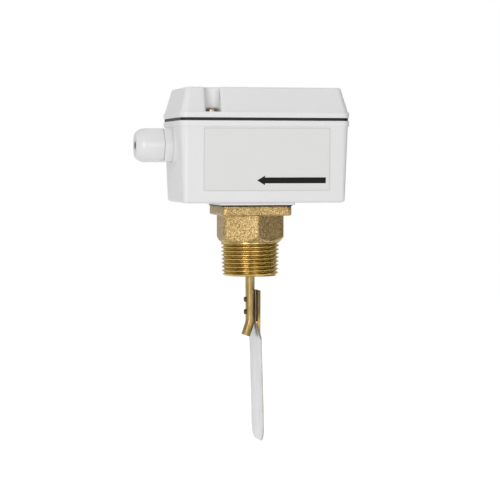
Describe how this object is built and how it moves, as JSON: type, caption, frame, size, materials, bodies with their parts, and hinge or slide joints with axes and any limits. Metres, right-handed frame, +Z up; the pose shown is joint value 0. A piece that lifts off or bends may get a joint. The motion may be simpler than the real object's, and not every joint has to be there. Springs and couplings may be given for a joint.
{
  "type": "paddle flow switch",
  "caption": "Flow switch with a swinging paddle below a brass pipe thread and a lidded grey enclosure with a cable gland.",
  "frame": {"origin": "on the pipe thread's axis, at the shoulder where the thread meets the hexagon", "axes": "+Z up along the thread's axis into the enclosure, +X along the enclosure away from the cable gland, flow pushes the paddle towards -X"},
  "size_m": [0.1179, 0.058, 0.2008],
  "materials": {
    "brass": "forged, grainy",
    "machined_brass": "machined, satin",
    "bronze": "satin",
    "stainless_steel": "satin",
    "plated_steel": "zinc plated, satin",
    "spring_steel": "satin",
    "terminal_metal": "nickel plated, satin",
    "grey_plastic": "fine moulded satin",
    "label_film": "satin film",
    "black_plastic": "moulded, semi-gloss",
    "red_plastic": "moulded, semi-gloss",
    "black_rubber": "matte"
  },
  "bodies": {
    "housing": {"brass_body": "brass", "flange_gasket": "black_rubber", "housing_base": "grey_plastic", "lid_gasket": "black_rubber", "rating_label": "label_film", "gland_body": "grey_plastic", "gland_washer": "grey_plastic", "gland_locknut": "grey_plastic", "gland_seal": "black_rubber", "gland_thrust_ring": "grey_plastic", "switch_frame": "plated_steel", "frame_screws": "plated_steel", "pivot_pin": "stainless_steel", "pivot_clips": "spring_steel", "snap_switch": "black_plastic", "switch_screws": "plated_steel", "switch_nuts": "plated_steel", "terminal_plates": "terminal_metal", "terminal_screws": "terminal_metal", "earth_clamp": "plated_steel", "earth_screw": "plated_steel"},
    "paddle_arm": {"paddle_rod": "machined_brass", "paddle": "stainless_steel", "clamp_bar": "machined_brass", "paddle_screws": "stainless_steel", "lever_hub": "machined_brass", "lever": "plated_steel", "lever_screws": "plated_steel", "spring_seat": "machined_brass", "range_spring": "spring_steel", "bellows": "bronze"},
    "range_nut": {"range_nut": "machined_brass"},
    "range_screw": {"range_screw": "machined_brass", "range_clip": "spring_steel"},
    "plunger": {"switch_plunger": "red_plastic"},
    "lid": {"housing_lid": "grey_plastic"},
    "lid_screw_front": {"lid_screw_front": "stainless_steel"},
    "lid_screw_rear": {"lid_screw_rear": "stainless_steel"},
    "gland_nut": {"gland_cap_nut": "grey_plastic"}
  },
  "joints": [
    {"name": "paddle_swing", "type": "hinge", "parent": "housing", "child": "paddle_arm", "pos_m": [0, 0, 0.033], "axis": [0, 1, 0], "range_deg": [0, 6], "stiffness_Nm_per_rad": 1.6, "springref_deg": -5.16, "deforming": ["bellows", "range_spring"]},
    {"name": "plunger_travel", "type": "slide", "parent": "housing", "child": "plunger", "axis": [0, 0, -1], "range_m": [0, 0.0016]},
    {"name": "range_screw_turn", "type": "hinge", "parent": "housing", "child": "range_screw", "pos_m": [-0.018, 0, 0.0635], "axis": [0, 0, 1], "range_deg": [-920, 920]},
    {"name": "range_nut_travel", "type": "slide", "parent": "housing", "child": "range_nut", "axis": [0, 0, 1], "range_m": [-0.00175, 0.00175]},
    {"name": "lid_lift", "type": "slide", "parent": "housing", "child": "lid", "axis": [0, 0, 1], "range_m": [0, 0.05]},
    {"name": "lid_screw_front_turn", "type": "hinge", "parent": "lid", "child": "lid_screw_front", "pos_m": [-0.0268, -0.023, 0.0727], "axis": [0, 0, 1], "continuous": true},
    {"name": "lid_screw_rear_turn", "type": "hinge", "parent": "lid", "child": "lid_screw_rear", "pos_m": [0.0327, 0.023, 0.0727], "axis": [0, 0, 1], "continuous": true},
    {"name": "gland_nut_turn", "type": "hinge", "parent": "housing", "child": "gland_nut", "pos_m": [-0.0585, 0, 0.0547], "axis": [1, 0, 0], "continuous": true}
  ],
  "couplings": [
    {"joint": "plunger_travel", "follows": "paddle_swing", "m_per_rad": 0.015},
    {"joint": "range_screw_turn", "follows": "range_nut_travel", "rad_per_m": -8976}
  ]
}
